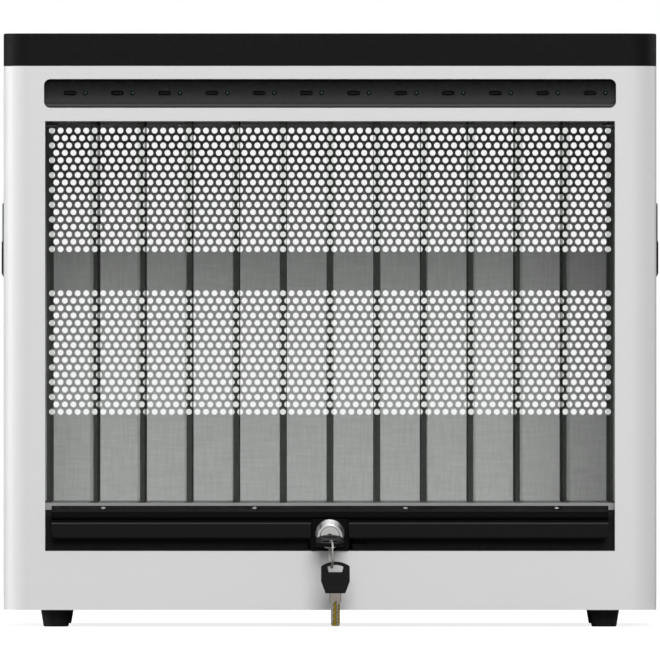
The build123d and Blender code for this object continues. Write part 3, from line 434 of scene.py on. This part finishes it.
def mark_points(piece, name, kind, field, values):
    """Holds a value for each point of a piece, for its finish to read."""
    piece.data.attributes.new(name, kind, "POINT").data.foreach_set(field, np.asarray(values).ravel())


def loft_faces(rows, columns, wrap=True):
    """Quads over a grid of points held row by row, each row a closed loop when wrap is true."""
    across = np.arange(columns if wrap else columns - 1)
    along = np.arange(rows - 1)[:, None]
    here = along * columns + across
    beside = along * columns + (across + 1) % columns
    quads = np.stack([here, beside, beside + columns, here + columns], axis=-1)
    return quads.reshape(-1, 4).tolist()


def end_faces(rows, columns):
    """The two flat faces that close a loft of closed loops."""
    last = (rows - 1) * columns
    return [list(range(columns))[::-1], list(range(last, last + columns))]


def smooth_step(value, start, end):
    """0 below start, 1 above end, and the cubic 3t^2 - 2t^3 between."""
    t = np.clip((value - start) / (end - start), 0.0, 1.0)
    return t * t * (3.0 - 2.0 * t)


# ---- rear panel ------------------------------------------------------------------------------------------
HOLE_D = 4.3 * MM
HOLE_PITCH = 6.11 * MM
ROW_PITCH = HOLE_PITCH * 3 ** 0.5 / 2
HOLES_IN_LONG_ROW = 66
ROWS_IN_BAND = 17
BAND_MIDDLES = (193.0 * MM, 309.2 * MM)
PANEL_CORNER_R = 8 * MM
FLANGE_LAP = 2 * MM             # how far the inlet's and the switch's flanges lap over their openings
WELD_GAP = 0.02 * MM


def perforated_band(middle_z):
    """One band of staggered round holes, as flat cells in X and Z.

    Each hole sits in a cell one pitch wide and one row high. Twelve points on the hole, every 30 degrees,
    join twelve on the cell's border: five along the top, five along the bottom and one at each side. A row
    with one hole fewer has a blank half cell at each end."""
    half_cell = (HOLE_PITCH / 2, ROW_PITCH / 2)
    angle = np.arange(12) * pi / 6
    ring = np.stack([np.cos(angle), np.sin(angle)], axis=1) * HOLE_D / 2
    border = np.array([(1, 0), (1, 1), (0.5, 1), (0, 1), (-0.5, 1), (-1, 1), (-1, 0), (-1, -1), (-0.5, -1),
                       (0, -1), (0.5, -1), (1, -1)]) * half_cell
    blank = np.array([(0, -1), (0.5, -1), (1, -1), (1, 0), (1, 1), (0.5, 1), (0, 1), (0, 0)]) * half_cell
    cell = np.concatenate([ring, border])
    k = np.arange(12)
    cell_faces = np.stack([k, 12 + k, 12 + (k + 1) % 12, (k + 1) % 12], axis=1)
    points, faces = [], []
    count = 0
    for row in range(ROWS_IN_BAND):
        z = middle_z + (row - (ROWS_IN_BAND - 1) / 2) * ROW_PITCH
        holes = HOLES_IN_LONG_ROW - row % 2
        x = (np.arange(holes) - (holes - 1) / 2) * HOLE_PITCH
        centres = np.stack([x, np.full(holes, z)], axis=1)
        points.append((centres[:, None, :] + cell[None]).reshape(-1, 2))
        first_points = count + len(cell) * np.arange(holes)[:, None, None]
        faces += (first_points + cell_faces[None]).reshape(-1, 4).tolist()
        count += len(cell) * holes
        if row % 2:
            row_end = HOLES_IN_LONG_ROW / 2 * HOLE_PITCH
            for side in (-1, 1):
                points.append(blank * (-side, 1) + (side * row_end, z))
                order = range(count, count + len(blank))
                faces.append(list(order if side < 0 else reversed(order)))
                count += len(blank)
    return np.concatenate(points), faces


def sheet_patch(x_lines, z_lines, skip=()):
    """Flat quads between two sets of grid lines, leaving out those whose middle is in a skipped rectangle."""
    gx, gz = np.meshgrid(x_lines, z_lines)
    points = np.stack([gx, gz], axis=-1).reshape(-1, 2)
    faces = np.array(loft_faces(len(z_lines), len(x_lines), wrap=False))
    centres = points[faces].mean(axis=1)
    keep = np.ones(len(faces), bool)
    for x0, x1, z0, z1 in skip:
        inside = (centres[:, 0] > x0) & (centres[:, 0] < x1) & (centres[:, 1] > z0) & (centres[:, 1] < z1)
        keep &= ~inside
    return points, faces[keep].tolist()


def rounded_corner(x, z, side, up, radius, steps=6):
    """A quarter disc whose inner corner is at x, z, facing side and up."""
    angle = np.linspace(0, pi / 2, steps + 1)
    arc = np.stack([x + side * radius * np.cos(angle), z + up * radius * np.sin(angle)], axis=1)
    points = np.concatenate([[(x, z)], arc])
    order = list(range(len(points)))
    return points, [order if side * up > 0 else order[::-1]]


def panel_patches(low, high):
    """The whole panel as flat patches. The plain ones are split where a band's cells have their points, so
    that the weld closes every seam."""
    left, right = low.x + PANEL_CORNER_R, high.x - PANEL_CORNER_R
    bottom, top = low.z + PANEL_CORNER_R, high.z - PANEL_CORNER_R
    half_length = HOLES_IN_LONG_ROW / 2 * HOLE_PITCH
    half_height = ROWS_IN_BAND / 2 * ROW_PITCH
    lower_band, upper_band = [(z - half_height, z + half_height) for z in BAND_MIDDLES]
    hole_lines = np.linspace(-half_length, half_length, 4 * HOLES_IN_LONG_ROW + 1)
    x_lines = [left, *hole_lines, right]
    openings = []
    for node in ("power_inlet", "switch_housing"):
        a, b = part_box(node)
        openings.append((a.x + FLANGE_LAP, b.x - FLANGE_LAP, a.z + FLANGE_LAP, b.z - FLANGE_LAP))
    marks = sorted({upper_band[1], top} | {z for opening in openings for z in opening[2:]})
    top_lines = [z for z in marks if z <= top]

    patches = [perforated_band(z) for z in BAND_MIDDLES]
    patches += [sheet_patch(x_lines, [low.z, bottom]), sheet_patch(x_lines, [bottom, lower_band[0]]),
                sheet_patch(x_lines, [lower_band[1], upper_band[0]]),
                sheet_patch(x_lines, top_lines, openings), sheet_patch(x_lines, [top, high.z])]
    side_lines = [bottom]
    for band in (lower_band, upper_band):
        z_lines = np.linspace(*band, 2 * ROWS_IN_BAND + 1)
        patches += [sheet_patch([left, -half_length], z_lines), sheet_patch([half_length, right], z_lines)]
        side_lines += list(z_lines)
    side_lines += top_lines[1:]
    patches += [sheet_patch([low.x, left], side_lines), sheet_patch([right, high.x], side_lines)]
    for side, x in ((-1, left), (1, right)):
        for up, z in ((-1, bottom), (1, top)):
            patches.append(rounded_corner(x, z, side, up, PANEL_CORNER_R))
    return patches


def perforated_panel():
    """The rear panel: flat patches on its front plane, welded into one sheet and thickened backwards."""
    low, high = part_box("rear_panel")
    points, faces = [], []
    count = 0
    for flat, patch_faces in panel_patches(low, high):
        points.append(np.stack([flat[:, 0], np.full(len(flat), low.y), flat[:, 1]], axis=1))
        faces += [[count + i for i in face] for face in patch_faces]
        count += len(flat)
    panel = make_piece("perforated_panel", np.concatenate(points), faces, "vent_steel", smooth=False)
    weld = panel.modifiers.new("weld", "WELD")
    weld.merge_threshold = WELD_GAP
    wall = panel.modifiers.new("sheet", "SOLIDIFY")
    wall.thickness = high.y - low.y
    wall.offset = -1.0
    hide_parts("rear_panel")
    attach(panel, "cabinet")


# ---- lock ------------------------------------------------------------------------------------------------
# The barrel's profile in mm: radius, and height over the housing.
BARREL_BORE = [(7.0, -23.8), (7.0, 9.1)]
BARREL_RIM = [(7.05, 9.2), (7.3, 9.46), (7.36, 9.5), (8.4, 9.5), (8.52, 9.47), (8.62, 9.36), (8.66, 9.2)]
BARREL_FOOT = [(10.1, 0.3), (10.14, 0.14), (10.12, 0.04), (10.04, 0.0), (7.8, 0.0)]
BARREL_TAIL = [(7.5, -23.8)]
THREAD_R = 7.62
THREAD_DEPTH = 0.18
THREAD_FROM, THREAD_TO = -0.4, -23.7
RIM_FACE_FROM, RIM_FACE_R = 9.4, 8.55


def lock_bezel():
    """The barrel: radius against height over the housing, turned about the lock's axis.

    Outside, a cone with a rolled front edge. Behind the housing's face the radius follows a cosine of the
    height, once each millimetre, as a thread."""
    steps = 96
    height = np.linspace(THREAD_FROM, THREAD_TO, 187)
    thread = np.stack([THREAD_R + THREAD_DEPTH * np.cos(height * 2 * pi), height], axis=1)
    profile = np.concatenate([BARREL_BORE, BARREL_RIM, BARREL_FOOT, thread, BARREL_TAIL])
    spin = np.arange(steps) * 2 * pi / steps
    across, up, out = np.array(LOCK_ACROSS), np.array(LOCK_UP), np.array(LOCK_OUT)
    spoke = np.cos(spin)[:, None] * across + np.sin(spin)[:, None] * up
    points = np.array(LOCK_AT) + profile[:, :1, None] * MM * spoke[None] + profile[:, 1:, None] * MM * out
    faces = loft_faces(len(profile), steps)
    last = (len(profile) - 1) * steps
    k = np.arange(steps)
    faces += np.stack([last + k, last + (k + 1) % steps, (k + 1) % steps, k], axis=1).tolist()
    bezel = make_piece("lock_bezel", points, faces, "lock_chrome")
    slope = np.gradient(profile, axis=0)
    slope /= np.linalg.norm(slope, axis=1)[:, None]
    along = slope[:, :1, None] * spoke[None] + slope[:, 1:, None] * out
    mark_points(bezel, "profile_direction", "FLOAT_VECTOR", "vector", along)
    front = (profile[:, 1] > RIM_FACE_FROM) & (profile[:, 0] < RIM_FACE_R)
    mark_points(bezel, "satin", "FLOAT", "value", np.repeat(front.astype(float), steps))
    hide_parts("lock_barrel")
    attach(bezel, "door")


# ---- keys, in mm from the blade's root, with the blade towards -Y ----------------------------------------
KEY_BLADE_L = 23.0
KEY_NECK_L = 6.0
KEY_BLADE_T = 2.2
NECK_HALF_W = 4.0
BLADE_HALF_W = 3.15
TIP_L = 1.9
TIP_INSET = 1.5
MILLED_D = 0.45
EDGE_EASED = 0.25
CUTTER_SIDE = 0.12              # half the width of the slope that the cutter leaves
BITE_PITCH = 2.3
PAD_HALF_W, PAD_HALF_L = 5.2, 2.75
PAD_MIDDLE = 5.4
PAD_PROUD, PAD_RIB = 1.22, 0.22
PAD_RIBS = 5


def blade_half_width(y):
    """Half width at y below the head: the neck, a short shoulder, the blade and a rounded tip."""
    down = -y
    narrowing = (NECK_HALF_W - BLADE_HALF_W) * smooth_step(down, KEY_NECK_L - 0.1, KEY_NECK_L + 0.7)
    tip = np.clip((down - (KEY_BLADE_L - TIP_L)) / TIP_L, 0.0, 1.0)
    return NECK_HALF_W - narrowing - TIP_INSET * (1.0 - np.sqrt(1.0 - 0.96 * tip ** 2))


def milled_depth(x, y):
    """How much of the cutter's work reaches a point, 0 to 1: a track and a scalloped edge.

    The track's right side is straight. Its left side is a sum of two sines, and steps outwards below the
    neck and again at the tip. The scallops follow a power of a sine's size."""
    down = -y
    wave = 0.34 * np.sin(down * 1.45) + 0.2 * np.sin(down * 3.1 + 0.8)
    widening = 1.15 * smooth_step(down, 5.6, 8.4) + 1.2 * smooth_step(down, 20.9, 22.3)
    left = wave - 0.1 - widening
    started = smooth_step(down, 5.0, 6.4)
    track = (smooth_step(x, left - CUTTER_SIDE, left + CUTTER_SIDE) * (1.0 - smooth_step(x, 0.5, 0.72))
             * started)
    bite = 1.5 + 0.75 * np.abs(np.sin(down * pi / BITE_PITCH)) ** 2.5
    scallops = smooth_step(x, bite - CUTTER_SIDE, bite + CUTTER_SIDE) * smooth_step(down, 7.2, 7.8)
    return np.maximum(track, scallops)


def key_blade(name, origin, across, along, thick, node, body):
    """A blade as one closed loft. Each section runs over its face at plus half thickness and back under it.

    The face lies at half the thickness less the milled depth, eased at its long edges, and the underside is
    the same turned half round. Sections follow one another from the neck to the tip."""
    columns, rows = 45, 151
    across_share = np.cos(np.linspace(pi, 0, columns))
    y = np.linspace(0.0, -KEY_BLADE_L, rows)[:, None]
    x_top = blade_half_width(y) * across_share[None]
    x_low = x_top[:, ::-1]
    eased = EDGE_EASED * smooth_step(np.abs(across_share), 0.9, 1.0)[None]
    milled_top = milled_depth(x_top, y)
    milled_low = milled_depth(-x_low, y)
    x = np.concatenate([x_top, x_low], axis=1)
    z = np.concatenate([KEY_BLADE_T / 2 - MILLED_D * milled_top - eased,
                        MILLED_D * milled_low + eased - KEY_BLADE_T / 2], axis=1)
    local = np.stack([x, np.repeat(y, 2 * columns, axis=1), z], axis=-1).reshape(-1, 3) * MM
    points = np.array(origin) + local @ np.array([across, along, thick])
    faces = loft_faces(rows, 2 * columns) + end_faces(rows, 2 * columns)
    piece = make_piece(name, points, faces, "key_nickel")
    mark_points(piece, "milled", "FLOAT", "value", np.concatenate([milled_top, milled_low], axis=1))
    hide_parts(node)
    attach(piece, body)


def grip_pad(name, origin, across, along, thick, side, body):
    """Five cross ribs in the head's waist: height follows one plus cosine of the place along the head."""
    columns, rows = 13, 61
    u = np.linspace(-1, 1, columns)[None] * np.ones((rows, 1))
    v = np.linspace(-1, 1, rows)[:, None] * np.ones((1, columns))
    border = (1 - smooth_step(np.abs(u), 0.93, 1.0)) * (1 - smooth_step(np.abs(v), 0.96, 1.0))
    ribs = 0.5 + 0.5 * np.cos(v * PAD_RIBS * pi)
    z = side * (PAD_PROUD + PAD_RIB * ribs * border)
    local = np.stack([PAD_HALF_W * u, PAD_MIDDLE + PAD_HALF_L * v, z], axis=-1).reshape(-1, 3) * MM
    points = np.array(origin) + local @ np.array([across, along, thick])
    faces = loft_faces(rows, columns, wrap=False)
    if side < 0:
        faces = [face[::-1] for face in faces]
    pad = make_piece(name, points, faces, "key_plastic")
    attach(pad, body)


def dress_key(prefix, origin, across, along, thick, body):
    key_blade(f"{prefix}_cut_blade", origin, across, along, thick, f"{prefix}_blade", body)
    for label, side in (("face", 1), ("back", -1)):
        grip_pad(f"{prefix}_grip_{label}", origin, across, along, thick, side, body)


def dress_keys():
    """The key in the lock points along the lock's axis. The spare hangs straight down."""
    root = LOCK_AT + LOCK_OUT * (LOCK_PROUD + KEY_SHOWING)
    dress_key("key", root, LOCK_ACROSS, LOCK_OUT, -LOCK_UP, "key")
    low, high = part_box("spare_key_blade")
    spare_root = Vector(((low.x + high.x) / 2, (low.y + high.y) / 2, high.z))
    dress_key("spare_key", spare_root, Vector((1, 0, 0)), Vector((0, 0, 1)), Vector((0, -1, 0)), "spare_key")


def split_ring():
    """Flat wire wound nearly twice round: its section is carried along a circle, and it steps over by one
    wire's width between its two ends."""
    low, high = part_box("key_ring")
    centre = (low + high) / 2
    outer = (high.z - low.z) / 2
    deep, wide = 1.2 * MM, 0.62 * MM
    slack = 0.04 * MM                 # between the two turns
    yaw = radians(7.4)
    axis = Vector((cos(yaw), sin(yaw), 0))
    flat = Vector((-sin(yaw), cos(yaw), 0))
    up = Vector((0, 0, 1))
    gap = radians(22)
    crossing = pi                     # the step and both ends are at the back of the ring
    rows, columns = 260, 12
    turn = np.linspace(gap, 4 * pi - gap, rows)[:, None]
    step = (smooth_step(turn, 2 * pi - gap, 2 * pi + gap) - 0.5) * (wide + slack)
    corner = np.arange(columns) / columns * 2 * pi + pi / columns
    squareness = 0.25                 # the section's power: 1 is an ellipse, 0 a rectangle
    section_r = deep / 2 * np.sign(np.cos(corner)) * np.abs(np.cos(corner)) ** squareness
    section_a = wide / 2 * np.sign(np.sin(corner)) * np.abs(np.sin(corner)) ** squareness
    from_end = np.minimum(turn - gap, 4 * pi - gap - turn)
    end_taper = np.minimum(1.0, 0.45 + 0.55 * from_end / radians(5))
    radius = outer - deep / 2 + section_r[None] * end_taper
    side = step + section_a[None] * end_taper
    spin = turn + crossing
    points = (np.array(centre) + (radius * np.cos(spin))[..., None] * np.array(flat)
              + (radius * np.sin(spin))[..., None] * np.array(up) + side[..., None] * np.array(axis))
    faces = loft_faces(rows, columns) + end_faces(rows, columns)
    ring = make_piece("split_ring", points, faces, "ring_steel")
    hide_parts("key_ring")
    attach(ring, "ring")


# ---- lamps on the port strip -----------------------------------------------------------------------------
BAY_PITCH = 33.3 * MM
BAY_COUNT = 12
LENS_R = 1.45 * MM
LENS_DOME = 0.9 * MM
LENS_ASIDE = 10.8 * MM          # lens to the bay's middle


def revolved(profile, centre, steps):
    """A profile of radius and depth pairs, turned about a line along Y through centre."""
    angle = np.arange(steps) * 2 * pi / steps
    x = centre.x + profile[:, :1] * np.cos(angle)
    z = centre.z + profile[:, :1] * np.sin(angle)
    y = centre.y + np.repeat(profile[:, 1:], steps, axis=1)
    return np.stack([x, y, z], axis=-1).reshape(-1, 3)


def status_lenses():
    """Twelve small domes, each a quarter ellipse turned about its own middle line."""
    low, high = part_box("status_leds")
    t = np.linspace(0.04, pi / 2, 7)
    dome = np.stack([LENS_R * np.sin(t), LENS_DOME * (1 - np.cos(t))], axis=1)
    profile = np.concatenate([dome, [(LENS_R, high.y - low.y - 0.1 * MM)]])
    points, faces = [], []
    steps = 20
    for i in range(BAY_COUNT):
        x = (i - (BAY_COUNT - 1) / 2) * BAY_PITCH + LENS_ASIDE
        centre = Vector((x, low.y, (low.z + high.z) / 2))
        base = i * len(profile) * steps
        points.append(revolved(profile, centre, steps))
        faces += [[base + k for k in face] for face in loft_faces(len(profile), steps)]
        faces.append([base + k for k in range(steps)][::-1])
    lenses = make_piece("status_lenses", np.concatenate(points), faces, "led_lens")
    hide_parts("status_leds")
    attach(lenses, "cabinet")


# ---- studio ----------------------------------------------------------------------------------------------
LAMP_AIM = Vector((0, 0, 0.2))
FILL_STRENGTH = 0.09
ROOM_DARK, CEILING_BRIGHT = 0.07, 2.0
CEILING_FROM, CEILING_TO = 0.52, 0.74     # on the world's Generated Z, where 0.5 is level
FLOOR_HALF = 2.4
FLOOR_GLOW = 0.83


def softbox(name, azimuth, elevation, away, size, watts):
    """A rectangular lamp that faces the object. Azimuth 0 is in front and 90 is on the right."""
    a, e = radians(azimuth), radians(elevation)
    lamp = bpy.data.lights.new(name, "AREA")
    lamp.shape = "RECTANGLE"
    lamp.size, lamp.size_y = size
    lamp.energy = watts
    spot = bpy.data.objects.new(name, lamp)
    bpy.context.scene.collection.objects.link(spot)
    back = Vector((sin(a) * cos(e), -cos(a) * cos(e), sin(e)))
    spot.location = LAMP_AIM + back * away
    spot.rotation_euler = back.to_track_quat("Z", "Y").to_euler()


def studio_lamps():
    softbox("front_softbox", 5, 24, 5.0, (2.2, 2.5), 163)
    softbox("low_front_strip", 0, 8.5, 5.0, (2.4, 0.6), 25)
    softbox("left_strip", -94, 5, 2.4, (0.6, 1.8), 54)
    softbox("right_fill", 117, 16, 3.0, (1.0, 1.8), 26)
    softbox("top_softbox", 0, 88, 2.8, (2.0, 2.0), 16)


def studio_world():
    """White behind the object and in glass, low even fill, and for polished surfaces a dark room whose
    ceiling is bright."""
    world = bpy.data.worlds.new("studio")
    bpy.context.scene.world = world
    world.use_nodes = True
    tree = world.node_tree
    tree.nodes.clear()

    def background(strength):
        made = tree.nodes.new("ShaderNodeBackground")
        made.inputs["Color"].default_value = (1, 1, 1, 1)
        made.inputs["Strength"].default_value = strength
        return made

    def mixed(share, first, second):
        made = tree.nodes.new("ShaderNodeMixShader")
        for socket, source in zip(made.inputs, (share, first, second)):
            tree.links.new(source, socket)
        return made.outputs[0]

    where = tree.nodes.new("ShaderNodeTexCoord")
    parts = tree.nodes.new("ShaderNodeSeparateXYZ")
    shade = tree.nodes.new("ShaderNodeMapRange")
    for name, value in (("From Min", CEILING_FROM), ("From Max", CEILING_TO), ("To Min", ROOM_DARK),
                        ("To Max", CEILING_BRIGHT)):
        shade.inputs[name].default_value = value
    fill, room, white = background(FILL_STRENGTH), background(1.0), background(1.0)
    tree.links.new(where.outputs["Generated"], parts.inputs[0])
    tree.links.new(parts.outputs["Z"], shade.inputs["Value"])
    tree.links.new(shade.outputs["Result"], room.inputs["Color"])
    path = tree.nodes.new("ShaderNodeLightPath")
    seen = tree.nodes.new("ShaderNodeMath")
    seen.operation = "MAXIMUM"
    tree.links.new(path.outputs["Is Camera Ray"], seen.inputs[0])
    tree.links.new(path.outputs["Is Transmission Ray"], seen.inputs[1])
    lit = mixed(path.outputs["Is Glossy Ray"], fill.outputs[0], room.outputs[0])
    out = tree.nodes.new("ShaderNodeOutputWorld")
    tree.links.new(mixed(seen.outputs[0], lit, white.outputs[0]), out.inputs["Surface"])


def studio_floor():
    """A pale floor. It glows a little to the camera, so that it meets the white room and keeps its shadow."""
    corners = [(-FLOOR_HALF, -FLOOR_HALF, 0), (FLOOR_HALF, -FLOOR_HALF, 0), (FLOOR_HALF, FLOOR_HALF, 0),
               (-FLOOR_HALF, FLOOR_HALF, 0)]
    mesh = bpy.data.meshes.new("studio_floor")
    mesh.from_pydata(corners, [], [(0, 1, 2, 3)])
    floor = bpy.data.objects.new("studio_floor", mesh)
    bpy.context.scene.collection.objects.link(floor)
    f = Finish("pale_floor", neutral(0.5), 0.9, specular=0.1)
    path = f.node("ShaderNodeLightPath")
    glow = f.maths("MULTIPLY", path.outputs["Is Camera Ray"], FLOOR_GLOW)
    f.feed(f.surface, Emission_Color=(1, 1, 1, 1), Emission_Strength=glow)
    mesh.materials.append(f.material)


def studio_camera():
    """Level with the object's middle, square to its front."""
    data = bpy.data.cameras.new("front_camera")
    data.lens = LENS
    data.sensor_width = SENSOR
    data.clip_start, data.clip_end = 0.5, 60.0
    camera = bpy.data.objects.new("front_camera", data)
    bpy.context.scene.collection.objects.link(camera)
    camera.location = (0, CASING_FRONT - CAMERA_AWAY, FRAME_MIDDLE_Z)
    camera.rotation_euler = (pi / 2, 0, 0)
    bpy.context.scene.camera = camera


bpy.context.scene.view_settings.view_transform = "Standard"
bpy.context.scene.cycles.transparent_max_bounces = 32
bpy.context.scene.cycles.caustics_refractive = False
bpy.context.scene.cycles.caustics_reflective = False
studio_camera()
studio_world()
studio_floor()
studio_lamps()
dress_nodes()
perforated_panel()
lock_bezel()
dress_keys()
split_ring()
status_lenses()
